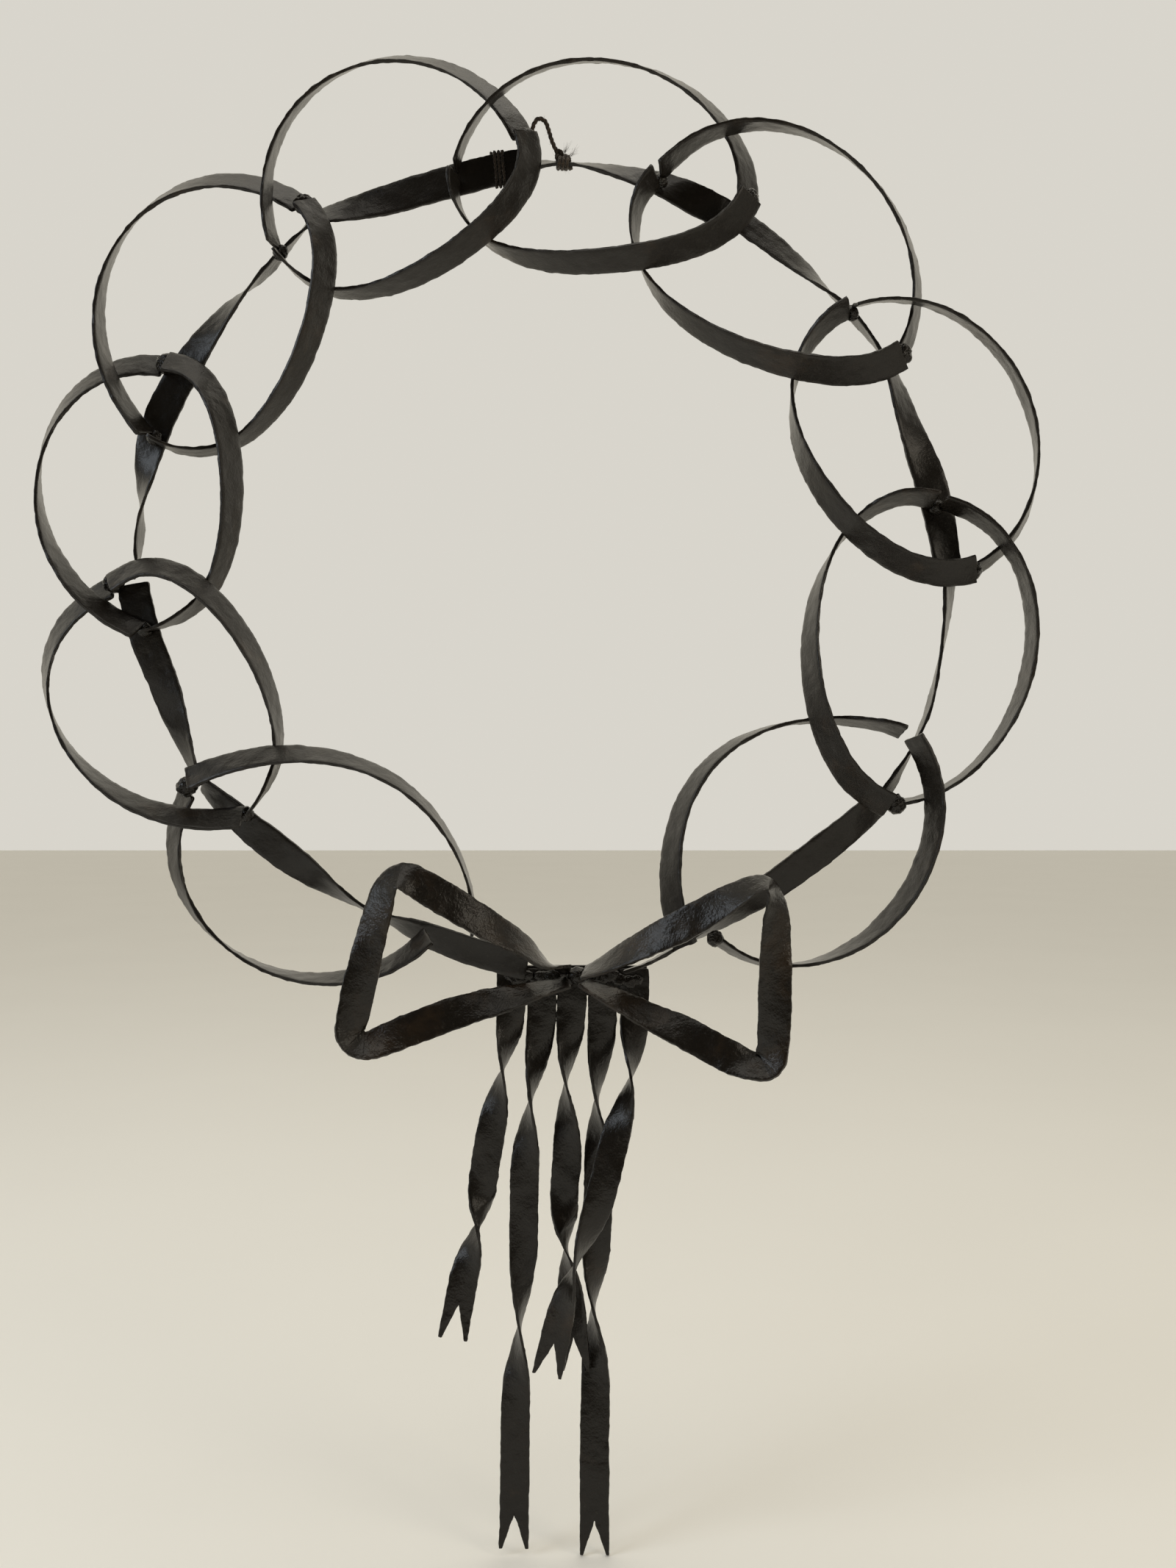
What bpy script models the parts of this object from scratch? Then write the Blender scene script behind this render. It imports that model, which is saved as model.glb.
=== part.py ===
"""Welded strap-iron door wreath: ten interlinked hoops on a twisted backbone, with a bow and five tails.

Metres, +Z up, front facing -Y. The wreath is laid out flat, x to the right, y up and z its depth towards
the viewer, around the centre of its backbone circle. An empty then stands it up, with the point that it
hangs from at the origin.
"""

import math

import bmesh
import bpy
from mathutils import Matrix, Vector

# Driving sizes
STRAP_WIDTH = 0.019
STRAP_THICKNESS = 0.002
RING_RADIUS = 0.240
TAIL_WIDTH = 0.0175
TAILS_APART = 0.0013
BAR_WIDTH = 0.018
BAR_THICKNESS = 0.003
BAR_INSET = 0.0009
CORD_DIAMETER = 0.0028
GAP = 0.0003

# Depths, towards the viewer, from the backbone's plane
BACKBONE_SETBACK = 0.6
OUTER_CROSSING_DEPTH = 0.0045
INNER_CROSSING_DEPTH = 0.0065
TAIL_TOP_DEPTH = -0.010
TAIL_WELD_THICKNESS = 0.0020
TAIL_WELD_FRONT = TAIL_TOP_DEPTH + STRAP_THICKNESS / 2 + 2 * GAP + TAIL_WELD_THICKNESS
PINCH_CLEARANCE = 0.0014
LOOP_FORWARD = 0.0295
PINCH_DEPTH = TAIL_WELD_FRONT + STRAP_WIDTH / 2 + PINCH_CLEARANCE
LOOP_DEPTH = PINCH_DEPTH + LOOP_FORWARD

# Hoop ends at their joints
BUTT_CLEARANCE = 0.0016
TUCK_CLEARANCE = 0.0025
SHORT_OF_TUCK = 0.006
LEAST_OVERRUN = 0.001
LEVEL_PAST_BACKBONE = 0.004
JOINT_SHARE = 0.35
JOINT_SPREAD = math.degrees(JOINT_SHARE * STRAP_WIDTH / RING_RADIUS)
SEARCH_STEPS = 40
SEARCH_SPAN = 0.47
HOOP_STEPS = 18
WALK_STEP = 0.002

# Each hoop: its start and end joint as clock angle and distance outside RING_RADIUS, then its outer and
# inner half as bulge, lean along the hoop, and turn of the strap at five even stations, in degrees from
# edge-on. A negative turn leans the front edge towards the hoop's own middle.
HOOPS = {
    "01": (
        (317.7, -0.005), (357.5, 0.004),
        (0.082, 0.007, (13, -10, -30, -42, -50)), (0.048, 0.000, (8, 4, -19, -31, -47)),
    ),
    "02": (
        (346.7, -0.012), (30.7, 0.000),
        (0.075, 0.006, (0, -20, -28, -38, -46)), (0.048, -0.011, (16, 8, -20, -32, -48)),
    ),
    "03": (
        (17.3, -0.011), (62.2, 0.000),
        (0.078, 0.000, (14, -9, -25, -27, -26)), (0.057, -0.017, (24, 14, -14, -33, -55)),
    ),
    "04": (
        (52.5, -0.010), (93.3, 0.016),
        (0.073, 0.006, (-15, -14, -8, -18, -19)), (0.063, -0.007, (26, 14, -17, -33, -50)),
    ),
    "05": (
        (83.9, -0.004), (127.3, 0.012),
        (0.072, -0.001, (10, 0, 4, 0, 6)), (0.061, -0.014, (18, 14, -14, -34, -46)),
    ),
    "06": (
        (117.4, 0.005), (156.8, 0.010),
        (0.070, 0.008, (22, 20, 15, -8, -18)), (0.068, 0.012, (20, 6, -17, -34, -46)),
    ),
    "07": (
        (196.1, 0.000), (236.5, 0.011),
        (0.075, 0.010, (32, 15, -12, -38, -46)), (0.064, -0.023, (4, 1, -15, -36, -46)),
    ),
    "08": (
        (227.6, -0.001), (265.3, 0.014),
        (0.075, 0.020, (40, 22, -15, -44, -52)), (0.050, 0.010, (14, -2, -22, -36, -46)),
    ),
    "09": (
        (257.9, 0.004), (296.0, 0.008),
        (0.072, 0.015, (38, 12, -25, -46, -54)), (0.046, 0.003, (12, -6, -23, -34, -50)),
    ),
    "10": (
        (285.3, 0.002), (325.1, 0.007),
        (0.081, 0.014, (24, 1, -26, -46, -52)), (0.050, -0.009, (0, 2, -18, -31, -44)),
    ),
}
# The inner halves that meet the backbone away from their outer half, straighter near their ends: start
# joint, end joint, bulge and lean
LONE_INNER = {
    "06": ((117.6, 0.002), (160.5, 0.011), 0.067, 0.002),
    "07": ((190.5, -0.003), (236.5, 0.011), 0.059, -0.007),
}
LONE_FULLNESS = 1.6
ORDER = ("07", "08", "09", "10", "01", "02", "03", "04", "05", "06")

# Each length of the backbone: clock angle, distance outside RING_RADIUS and turn at its bends
BACKBONE = {
    "01": (
        (182.3, 0.012, 70), (196.0, 0.004, 62), (206.8, 0.003, 8), (221.2, 0.002, 88),
        (235.6, 0.011, 30),
    ),
    "02": ((236.8, 0.011, 20), (249.3, 0.003, 78), (258.3, 0.006, 90), (264.9, 0.008, 88)),
    "03": ((266.0, 0.008, 28), (273.4, 0.005, 5), (285.1, 0.005, 85), (295.7, 0.001, 88)),
    "04": ((296.7, 0.001, 85), (306.8, 0.000, 45), (315.6, -0.002, 8), (324.4, 0.003, 30)),
    "05": ((325.6, 0.003, 42), (335.0, -0.010, 80), (346.4, -0.013, 90), (357.0, -0.009, 88)),
    "06": (
        (358.2, -0.008, 40), (364.3, -0.006, 26), (377.3, -0.009, 64), (384.9, -0.012, 90),
        (390.3, -0.011, 72),
    ),
    "07": ((31.5, -0.010, 62), (41.5, -0.010, 50), (52.0, -0.006, 8), (61.2, -0.003, 22)),
    "08": ((62.4, -0.004, 32), (71.7, -0.007, 60), (80.9, -0.004, 90), (93.0, 0.004, 66)),
    "09": ((94.2, 0.006, 35), (106.2, 0.009, 12), (114.8, 0.013, 5), (126.4, 0.014, 32)),
    "10": (
        (127.6, 0.013, 58), (137.5, 0.007, 78), (147.0, 0.006, 66), (154.5, 0.010, 28),
        (161.0, 0.0138, 6), (165.5, 0.017, 6), (169.3, 0.019, 6),
    ),
}

# The last length comes forward between these angles, to end in front of the tail weld
FOOT_LENGTH = "10"
FOOT_START = LONE_INNER["06"][1][0] + JOINT_SPREAD
FOOT_END = 167.0
FOOT_LIFT = TAIL_WELD_FRONT + 2 * GAP + (1 + BACKBONE_SETBACK) * STRAP_WIDTH / 2

# The pinch in the middle of the bow, below the backbone circle
PINCH_X = 0.0198
PINCH_Y = -RING_RADIUS - 0.0172

# Each bow loop: the strap's middle across and up from the pinch, the share of the way from PINCH_DEPTH to
# LOOP_DEPTH, and turn, from the pinch round the loop and back
BOW_LEFT = (
    (-0.0045, 0.0040, 0.00, 25),
    (-0.0130, 0.0060, 0.04, 10),
    (-0.0215, 0.0108, 0.14, -14),
    (-0.0330, 0.0210, 0.34, -33),
    (-0.0500, 0.0320, 0.62, -54),
    (-0.0680, 0.0438, 0.84, -70),
    (-0.0860, 0.0550, 0.95, -74),
    (-0.0985, 0.0618, 1.00, -50),
    (-0.1060, 0.0605, 1.00, -40),
    (-0.1105, 0.0535, 1.00, -52),
    (-0.1148, 0.0395, 1.00, -62),
    (-0.1195, 0.0205, 1.00, -74),
    (-0.1245, 0.0000, 1.00, -95),
    (-0.1285, -0.0190, 1.00, -115),
    (-0.1296, -0.0295, 1.00, -132),
    (-0.1222, -0.0358, 0.96, -136),
    (-0.1080, -0.0315, 0.84, -118),
    (-0.0860, -0.0238, 0.64, -104),
    (-0.0640, -0.0168, 0.46, -116),
    (-0.0420, -0.0118, 0.28, -138),
    (-0.0210, -0.0070, 0.10, -160),
    (-0.0045, -0.0034, 0.00, -168),
)
BOW_RIGHT = (
    (0.0040, -0.0034, 0.00, -170),
    (0.0150, -0.0085, 0.14, -158),
    (0.0300, -0.0150, 0.30, -146),
    (0.0460, -0.0225, 0.46, -132),
    (0.0627, -0.0296, 0.62, -114),
    (0.0790, -0.0378, 0.78, -100),
    (0.0914, -0.0439, 0.90, -116),
    (0.1010, -0.0470, 0.97, -138),
    (0.1085, -0.0470, 1.00, -136),
    (0.1122, -0.0410, 1.00, -122),
    (0.1135, -0.0250, 1.00, -110),
    (0.1142, -0.0020, 1.00, -95),
    (0.1145, 0.0210, 1.00, -72),
    (0.1149, 0.0360, 1.00, -60),
    (0.1145, 0.0480, 1.00, -38),
    (0.1112, 0.0570, 1.00, -22),
    (0.1040, 0.0575, 1.00, -24),
    (0.0940, 0.0530, 0.98, -37),
    (0.0790, 0.0436, 0.91, -56),
    (0.0628, 0.0338, 0.78, -70),
    (0.0450, 0.0242, 0.55, -53),
    (0.0300, 0.0160, 0.32, -38),
    (0.0150, 0.0072, 0.12, -20),
    (0.0040, 0.0022, 0.00, -10),
)
BOW_WELD = (0.0050, 0.0046, 0.0048)
BOW_WELD_DEPTH = -0.0015

# Each tail from its top: drift across, drop, depth and turn
TAILS_MIDDLE_X = PINCH_X - 0.0027
TAILS_TOP_Y = PINCH_Y + 0.0027
TAIL_PITCH = TAIL_WIDTH + TAILS_APART
TAILS = {
    "01": (
        (0.0000, 0.0000, TAIL_TOP_DEPTH, 90),
        (0.0000, 0.0275, -0.009, 84),
        (-0.0045, 0.0610, -0.008, 0),
        (-0.0110, 0.0940, -0.006, -82),
        (-0.0165, 0.1270, -0.006, -84),
        (-0.0195, 0.1545, -0.005, -180),
        (-0.0275, 0.1840, -0.002, -262),
        (-0.0340, 0.2200, 0.002, -270),
    ),
    "02": (
        (0.0000, 0.0000, TAIL_TOP_DEPTH, 90),
        (-0.0004, 0.0365, -0.009, 84),
        (-0.0065, 0.0795, -0.007, 0),
        (-0.0100, 0.1200, -0.005, -84),
        (-0.0105, 0.1590, -0.003, -86),
        (-0.0125, 0.2135, 0.000, -180),
        (-0.0150, 0.2550, 0.003, -262),
        (-0.0155, 0.2970, 0.006, -270),
        (-0.0160, 0.3420, 0.008, -270),
    ),
    "03": (
        (0.0000, 0.0000, TAIL_TOP_DEPTH, 90),
        (-0.0010, 0.0325, -0.009, 84),
        (-0.0040, 0.0685, -0.008, 0),
        (-0.0030, 0.1120, -0.007, -84),
        (-0.0050, 0.1360, -0.006, -82),
        (-0.0035, 0.1685, -0.006, -180),
        (-0.0010, 0.2000, -0.005, -250),
        (0.0020, 0.2420, -0.004, -262),
    ),
    "04": (
        (0.0000, 0.0000, TAIL_TOP_DEPTH, 90),
        (-0.0010, 0.0365, -0.010, 84),
        (-0.0040, 0.0810, -0.011, 0),
        (-0.0030, 0.1220, -0.012, -84),
        (-0.0040, 0.1630, -0.012, -84),
        (-0.0060, 0.2070, -0.010, -180),
        (-0.0050, 0.2490, -0.004, -262),
        (-0.0055, 0.2940, 0.004, -270),
        (-0.0055, 0.3460, 0.008, -270),
    ),
    "05": (
        (0.0000, 0.0000, TAIL_TOP_DEPTH, 90),
        (0.0000, 0.0325, -0.008, 84),
        (-0.0025, 0.0655, 0.000, 0),
        (-0.0125, 0.0985, 0.010, -80),
        (-0.0205, 0.1295, 0.016, -84),
        (-0.0365, 0.1745, 0.017, -180),
        (-0.0445, 0.2015, 0.015, -250),
        (-0.0525, 0.2370, 0.013, -266),
    ),
}
STEPS_PER_STATION = 3
NOTCH_DEPTH = 0.020
NOTCH_SHARE = 0.80

# Cross bar behind the tops of the tails, and the weld run in front of them
BAR_DEPTH = TAIL_TOP_DEPTH - STRAP_THICKNESS / 2 - GAP - BAR_THICKNESS / 2
BAR_LENGTH = 4 * TAIL_PITCH + TAIL_WIDTH - 2 * BAR_INSET
BAR_Y = PINCH_Y - 0.0048
TAIL_WELD_Y = PINCH_Y - 0.0028
TAIL_WELD_HEIGHT = 0.009

# Weld beads: half sizes along the backbone, across it and in depth
START_BEAD = (0.0045, 0.0042, 0.0036)
END_BEAD = (0.0056, 0.0058, 0.0042)
NO_START_BEAD = ("02", "06", "07")

# Route of the hanging cord, its wrapping on the backbone and its knot
CORD_ROUTE = (
    (-0.0215, 0.2308, -0.0040),
    (-0.0180, 0.2312, -0.0040),
    (-0.0145, 0.2330, -0.0040),
    (-0.0112, 0.2370, -0.0038),
    (-0.0084, 0.2422, -0.0032),
    (-0.0072, 0.2480, -0.0024),
    (-0.0066, 0.2540, -0.0018),
    (-0.0036, 0.2584, -0.0014),
    (0.0006, 0.2570, -0.0014),
    (0.0028, 0.2520, -0.0020),
    (0.0046, 0.2464, -0.0032),
    (0.0072, 0.2412, -0.0048),
    (0.0094, 0.2382, -0.0056),
)
WRAP_ANGLE = 353.3
WRAP_LENGTH = 0.0075
WRAP_WALL = 0.0024
KNOT_ANGLE = 2.8
KNOT_SIZE = (0.0062, 0.0044, 0.0118)
KNOT_LEAN = 26

# Finish of each kind of piece: colour, roughness and metallic value
HOOP_PAINT = ((0.048, 0.038, 0.032), 0.45, 0.6)
BACKBONE_PAINT = ((0.040, 0.033, 0.029), 0.45, 0.6)
BOW_PAINT = ((0.055, 0.042, 0.034), 0.40, 0.6)
TAIL_PAINT = ((0.036, 0.031, 0.028), 0.45, 0.6)
BAR_PAINT = ((0.034, 0.029, 0.026), 0.50, 0.6)
WELD_PAINT = ((0.030, 0.027, 0.025), 0.40, 0.7)
TWINE_DYE = ((0.085, 0.062, 0.040), 0.90, 0.0)

# The point inside the top of the cord's loop that the wreath hangs from
HANG_X = -0.0020
HANG_Y = 0.2570
HANG_DEPTH = -0.0014


def clear_scene():
    for obj in list(bpy.data.objects):
        bpy.data.objects.remove(obj)


def new_collection(name):
    collection = bpy.data.collections.new(name)
    bpy.context.scene.collection.children.link(collection)
    return collection


def new_material(name, finish):
    colour, roughness, metallic = finish
    mat = bpy.data.materials.new(name)
    mat.use_nodes = True
    shader = mat.node_tree.nodes["Principled BSDF"]
    shader.inputs["Base Color"].default_value = (*colour, 1)
    shader.inputs["Roughness"].default_value = roughness
    shader.inputs["Metallic"].default_value = metallic
    return mat


def smooth(values, share):
    """A smooth curve through even stations, read at a share of the way from 0 to 1."""
    spans = len(values) - 1
    place = min(max(share, 0), 1) * spans
    index = min(int(place), spans - 1)
    t = place - index
    start = values[index]
    end = values[index + 1]
    slope_in = (end - values[max(index - 1, 0)]) / 2
    slope_out = (values[min(index + 2, spans)] - start) / 2
    from_start = (2 * t**3 - 3 * t**2 + 1) * start + (t**3 - 2 * t**2 + t) * slope_in
    to_end = (3 * t**2 - 2 * t**3) * end + (t**3 - t**2) * slope_out
    return from_start + to_end


def eased(stations, share):
    """A value that rests at each station and eases over to the next one."""
    index = 0
    while index < len(stations) - 2 and share > stations[index + 1][0]:
        index += 1
    here, start = stations[index]
    there, end = stations[index + 1]
    t = min(max((share - here) / (there - here), 0), 1)
    return start + (end - start) * (3 * t**2 - 2 * t**3)


def column(rows, index):
    return [row[index] for row in rows]


def on_clock(angle, outside=0.0):
    turn = math.radians(angle)
    radius = RING_RADIUS + outside
    return Vector((radius * math.sin(turn), radius * math.cos(turn)))


def backbone_depth(name, angle, turn):
    """The backbone moves back where it stands edge-on, so its front stays nearly level."""
    depth = -BACKBONE_SETBACK * STRAP_WIDTH / 2 * abs(math.cos(math.radians(turn)))
    if name == FOOT_LENGTH:
        depth += eased(((FOOT_START, 0.0), (FOOT_END, FOOT_LIFT)), angle)
    return depth


def half_depth(turn):
    """How far a strap reaches in depth from its middle."""
    angle = math.radians(turn)
    return STRAP_WIDTH / 2 * abs(math.cos(angle)) + STRAP_THICKNESS / 2 * abs(math.sin(angle))


def backbone_at(angle):
    """Depth of the backbone's front, half of its visible width and its distance outside RING_RADIUS."""
    front = -STRAP_WIDTH
    reach = 0.0
    outside = 0.0
    for name, stations in BACKBONE.items():
        angles = column(stations, 0)
        for look in (-JOINT_SPREAD, JOINT_SPREAD, 0.0):
            here = angles[0] + (angle + look - angles[0] + 180) % 360 - 180
            if not angles[0] <= here <= angles[-1]:
                continue
            index = 0
            while here > angles[index + 1]:
                index += 1
            share = (here - angles[index]) / (angles[index + 1] - angles[index])
            turn = stations[index][2] * (1 - share) + stations[index + 1][2] * share
            front = max(front, backbone_depth(name, here, turn) + half_depth(turn))
            reach = max(reach, STRAP_WIDTH / 2 * abs(math.sin(math.radians(turn))))
            outside = stations[index][1] * (1 - share) + stations[index + 1][1] * share
    return front, reach, outside


def strap_curve(name, places, turns, width, growth, collection, stand):
    """A flat strap: a curve drawn out to its width, with its thickness from Solidify."""
    curve = bpy.data.curves.new(name, "CURVE")
    curve.dimensions = "3D"
    curve.twist_mode = "Z_UP"
    curve.extrude = width / 2 + growth
    spline = curve.splines.new("POLY")
    spline.points.add(len(places) - 1)
    for point, place, turn in zip(spline.points, places, turns):
        point.co = (*place, 1)
        point.tilt = math.radians(turn)
    obj = bpy.data.objects.new(name, curve)
    collection.objects.link(obj)
    obj.parent = stand
    wall = obj.modifiers.new("Thickness", "SOLIDIFY")
    wall.thickness = STRAP_THICKNESS + 2 * growth
    wall.offset = 0
    facets = obj.modifiers.new("Facets", "TRIANGULATE")
    facets.quad_method = "FIXED"
    return obj


def as_mesh(obj):
    """Swap an object for a closed mesh of its evaluated shape, largest piece only."""
    bpy.context.view_layer.update()
    evaluated = obj.evaluated_get(bpy.context.evaluated_depsgraph_get())
    mesh = bpy.data.meshes.new_from_object(evaluated)
    body = bmesh.new()
    body.from_mesh(mesh)
    bmesh.ops.remove_doubles(body, verts=body.verts, dist=0.000001)
    bmesh.ops.delete(body, geom=smaller_pieces(body), context="VERTS")
    bmesh.ops.recalc_face_normals(body, faces=body.faces)
    body.to_mesh(mesh)
    body.free()
    name = obj.name
    collection = obj.users_collection[0]
    stand = obj.parent
    bpy.data.objects.remove(obj)
    solid = bpy.data.objects.new(name, mesh)
    collection.objects.link(solid)
    solid.parent = stand
    return solid


def smaller_pieces(body):
    """The vertices of every piece but the largest one."""
    left = set(body.verts)
    pieces = []
    while left:
        front = [left.pop()]
        piece = set(front)
        while front:
            vert = front.pop()
            for edge in vert.link_edges:
                other = edge.other_vert(vert)
                if other in left:
                    left.remove(other)
                    piece.add(other)
                    front.append(other)
        pieces.append(piece)
    pieces.sort(key=piece_size, reverse=True)
    return [vert for piece in pieces[1:] for vert in piece]


def piece_size(piece):
    low = [min(vert.co[axis] for vert in piece) for axis in range(3)]
    high = [max(vert.co[axis] for vert in piece) for axis in range(3)]
    return (high[0] - low[0]) * (high[1] - low[1]) * (high[2] - low[2])


class Shop:
    """What the pieces are made with: their collections, their stand and the rooms cut for them."""

    def __init__(self):
        self.parts = new_collection("harvest_door_wreath")
        self.cutters = new_collection("cutters")
        self.stand = bpy.data.objects.new("stand", None)
        self.parts.objects.link(self.stand)
        lift = Matrix.Translation((-HANG_X, HANG_DEPTH, -HANG_Y))
        self.stand.matrix_world = lift @ Matrix.Rotation(math.pi / 2, 4, "X")
        self.rooms = []

    def strap(self, name, finish, places, turns, width=STRAP_WIDTH):
        """A strap, and the room that welds, knots and wrappings leave for it."""
        first = places[0] + (places[0] - places[1]).normalized() * GAP
        last = places[-1] + (places[-1] - places[-2]).normalized() * GAP
        grown = [first, *places[1:-1], last]
        room = strap_curve(name + "_room", grown, turns, width, GAP, self.cutters, self.stand)
        self.keep_room(as_mesh(room))
        strap = strap_curve(name, places, turns, width, 0.0, self.parts, self.stand)
        strap.data.materials.append(new_material(name, finish))
        return strap

    def keep_room(self, room):
        room.display_type = "WIRE"
        room.hide_render = True
        self.rooms.append(room)

    def solid(self, name, body, finish):
        """Make an object of a bmesh, and cut away the room of each strap that it reaches."""
        mesh = bpy.data.meshes.new(name)
        body.to_mesh(mesh)
        body.free()
        mesh.materials.append(new_material(name, finish))
        obj = bpy.data.objects.new(name, mesh)
        self.parts.objects.link(obj)
        obj.parent = self.stand
        reached = [room for room in self.rooms if boxes_meet(mesh, room.data)]
        for room in reached:
            cut = obj.modifiers.new(room.name, "BOOLEAN")
            cut.operation = "DIFFERENCE"
            cut.object = room
        if reached:
            obj = as_mesh(obj)
        obj.data.shade_smooth()
        obj.data.set_sharp_from_angle(angle=math.radians(35))
        return obj


def boxes_meet(mesh, other):
    for axis in range(3):
        mine = [vert.co[axis] for vert in mesh.vertices]
        yours = [vert.co[axis] for vert in other.vertices]
        if min(mine) > max(yours) or max(mine) < min(yours):
            return False
    return True


def lump(place, heading, size, lean=0.0):
    """A bmesh of a round lump: its half sizes along a heading in the flat, across it and in depth, and
    how far it leans about that heading."""
    body = bmesh.new()
    bmesh.ops.create_icosphere(body, subdivisions=2, radius=1.0)
    turn = math.atan2(heading.y, heading.x)
    bmesh.ops.scale(body, vec=size, verts=body.verts)
    spin = Matrix.Rotation(turn, 3, "Z") @ Matrix.Rotation(math.radians(lean), 3, "X")
    bmesh.ops.rotate(body, cent=(0, 0, 0), matrix=spin, verts=body.verts)
    bmesh.ops.translate(body, vec=place, verts=body.verts)
    return body


def half_of(name, outer_side):
    """Half of a hoop: its two joints, bulge, lean and turns, and how full its curve is."""
    start_joint, end_joint, outer, inner = HOOPS[name]
    if outer_side:
        return start_joint, end_joint, *outer, 1.0
    if name in LONE_INNER:
        return *LONE_INNER[name], inner[2], LONE_FULLNESS
    return start_joint, end_joint, *inner, 1.0


def hoop_path(name, outer_side, share):
    """A place on half of a hoop, an ellipse with its crown moved along by the lean."""
    start_joint, end_joint, bulge, lean, turns, fullness = half_of(name, outer_side)
    start = on_clock(*start_joint)
    end = on_clock(*end_joint)
    along = (end - start) / 2
    middle = (start + end) / 2
    out = Vector((-along.y, along.x)).normalized() * (bulge if outer_side else -bulge)
    swell = max(math.sin(math.pi * share), 0.0)
    sideways = out * swell**fullness + along.normalized() * lean * swell
    return middle - along * math.cos(math.pi * share) + sideways


def share_away(name, outer_side, end, distance):
    """The share of the way at which a half hoop is this far from one of its ends, 0 or 1."""
    step = WALK_STEP if end == 0 else -WALK_STEP
    share = end
    while (hoop_path(name, outer_side, share) - hoop_path(name, outer_side, end)).length < distance:
        share += step
    return share


def end_tuck(name, outer_side):
    """The way that a half hoop heads at its end joint, and how far past it the backbone is cleared."""
    end_joint = half_of(name, outer_side)[1]
    near_end = share_away(name, outer_side, 1, STRAP_WIDTH / 4)
    heading = (hoop_path(name, outer_side, 1) - hoop_path(name, outer_side, near_end)).normalized()
    square = abs(heading.dot(on_clock(end_joint[0]).normalized()))
    reach, outside = backbone_at(end_joint[0])[1:]
    last_turn = math.radians(HOOPS[name][2][2][-1])
    corner = STRAP_WIDTH / 2 * abs(math.sin(last_turn)) * math.sqrt(1 - square**2)
    tuck = (outside + reach + corner + TUCK_CLEARANCE - end_joint[1]) / square
    return heading, max(tuck, TUCK_CLEARANCE)


def crossing(name, other, outer_side):
    """Where a hoop crosses the one after it: the shares of the way along each of them."""
    nearest = STRAP_WIDTH
    found = (0.5 + SEARCH_SPAN / 2, 0.5 - SEARCH_SPAN / 2)
    for step in range(SEARCH_STEPS):
        share = 0.5 + SEARCH_SPAN * step / SEARCH_STEPS
        place = hoop_path(name, outer_side, share)
        for other_step in range(SEARCH_STEPS):
            other_share = 0.5 - SEARCH_SPAN * other_step / SEARCH_STEPS
            apart = (hoop_path(other, outer_side, other_share) - place).length
            if apart < nearest:
                nearest = apart
                found = (share, other_share)
    return found


def hoop_depths(name, outer_side, tuck):
    """Depth of half a hoop along its way: level over its joints, and past its neighbours between them."""
    start_joint, end_joint, bulge, lean, turns, fullness = half_of(name, outer_side)
    start_front, start_reach = backbone_at(start_joint[0])[:2]
    end_front = backbone_at(end_joint[0])[0]
    start_depth = start_front + GAP + max(half_depth(HOOPS[name][2][2][0]), half_depth(turns[0]))
    if outer_side:
        cross_start = OUTER_CROSSING_DEPTH + STRAP_WIDTH / 2
        cross_end = OUTER_CROSSING_DEPTH - STRAP_WIDTH / 2
        end_depth = end_front - half_depth(turns[-1])
        level_end = share_away(name, outer_side, 1, tuck + LEVEL_PAST_BACKBONE)
    else:
        cross_start = INNER_CROSSING_DEPTH - STRAP_WIDTH / 2
        cross_end = INNER_CROSSING_DEPTH + STRAP_WIDTH / 2
        end_depth = end_front + GAP + half_depth(turns[-1])
        level_end = share_away(name, outer_side, 1, LEVEL_PAST_BACKBONE)
    level_start = share_away(name, outer_side, 0, start_reach + LEVEL_PAST_BACKBONE)
    depths = [(0, start_depth), (level_start, start_depth)]
    place = ORDER.index(name)
    if place > 0:
        depths.append((crossing(ORDER[place - 1], name, outer_side)[1], cross_start))
    if place < len(ORDER) - 1:
        depths.append((crossing(name, ORDER[place + 1], outer_side)[0], cross_end))
    depths.append((level_end, end_depth))
    depths.append((1, end_depth))
    return depths


def hoop_half(shop, name, outer_side):
    """One half hoop: out of its start joint, round, and on to its end joint."""
    turns = half_of(name, outer_side)[4]
    heading, tuck = end_tuck(name, outer_side)
    depths = hoop_depths(name, outer_side, tuck)
    first = share_away(name, outer_side, 0, BUTT_CLEARANCE)
    last = share_away(name, outer_side, 1, tuck) if outer_side else 1
    places = []
    angles = []
    for step in range(HOOP_STEPS + 1):
        share = first + (last - first) * step / HOOP_STEPS
        places.append(Vector((*hoop_path(name, outer_side, share), eased(depths, share))))
        angles.append(-smooth(turns, share) if outer_side else smooth(turns, share))
    if not outer_side:
        overrun = max(tuck - SHORT_OF_TUCK, LEAST_OVERRUN)
        places.append(places[-1] + Vector((*heading, 0)) * overrun)
        angles.append(angles[-1])
    side = "outer" if outer_side else "inner"
    shop.strap(f"hoop_{name}_{side}", HOOP_PAINT, places, angles)


def backbone_length(shop, name):
    stations = BACKBONE[name]
    steps = STEPS_PER_STATION * (len(stations) - 1)
    places = []
    turns = []
    for step in range(steps + 1):
        share = step / steps
        angle = smooth(column(stations, 0), share)
        turn = smooth(column(stations, 2), share)
        flat = on_clock(angle, smooth(column(stations, 1), share))
        places.append(Vector((*flat, backbone_depth(name, angle, turn))))
        turns.append(turn)
    shop.strap(f"backbone_{name}", BACKBONE_PAINT, places, turns)


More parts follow.
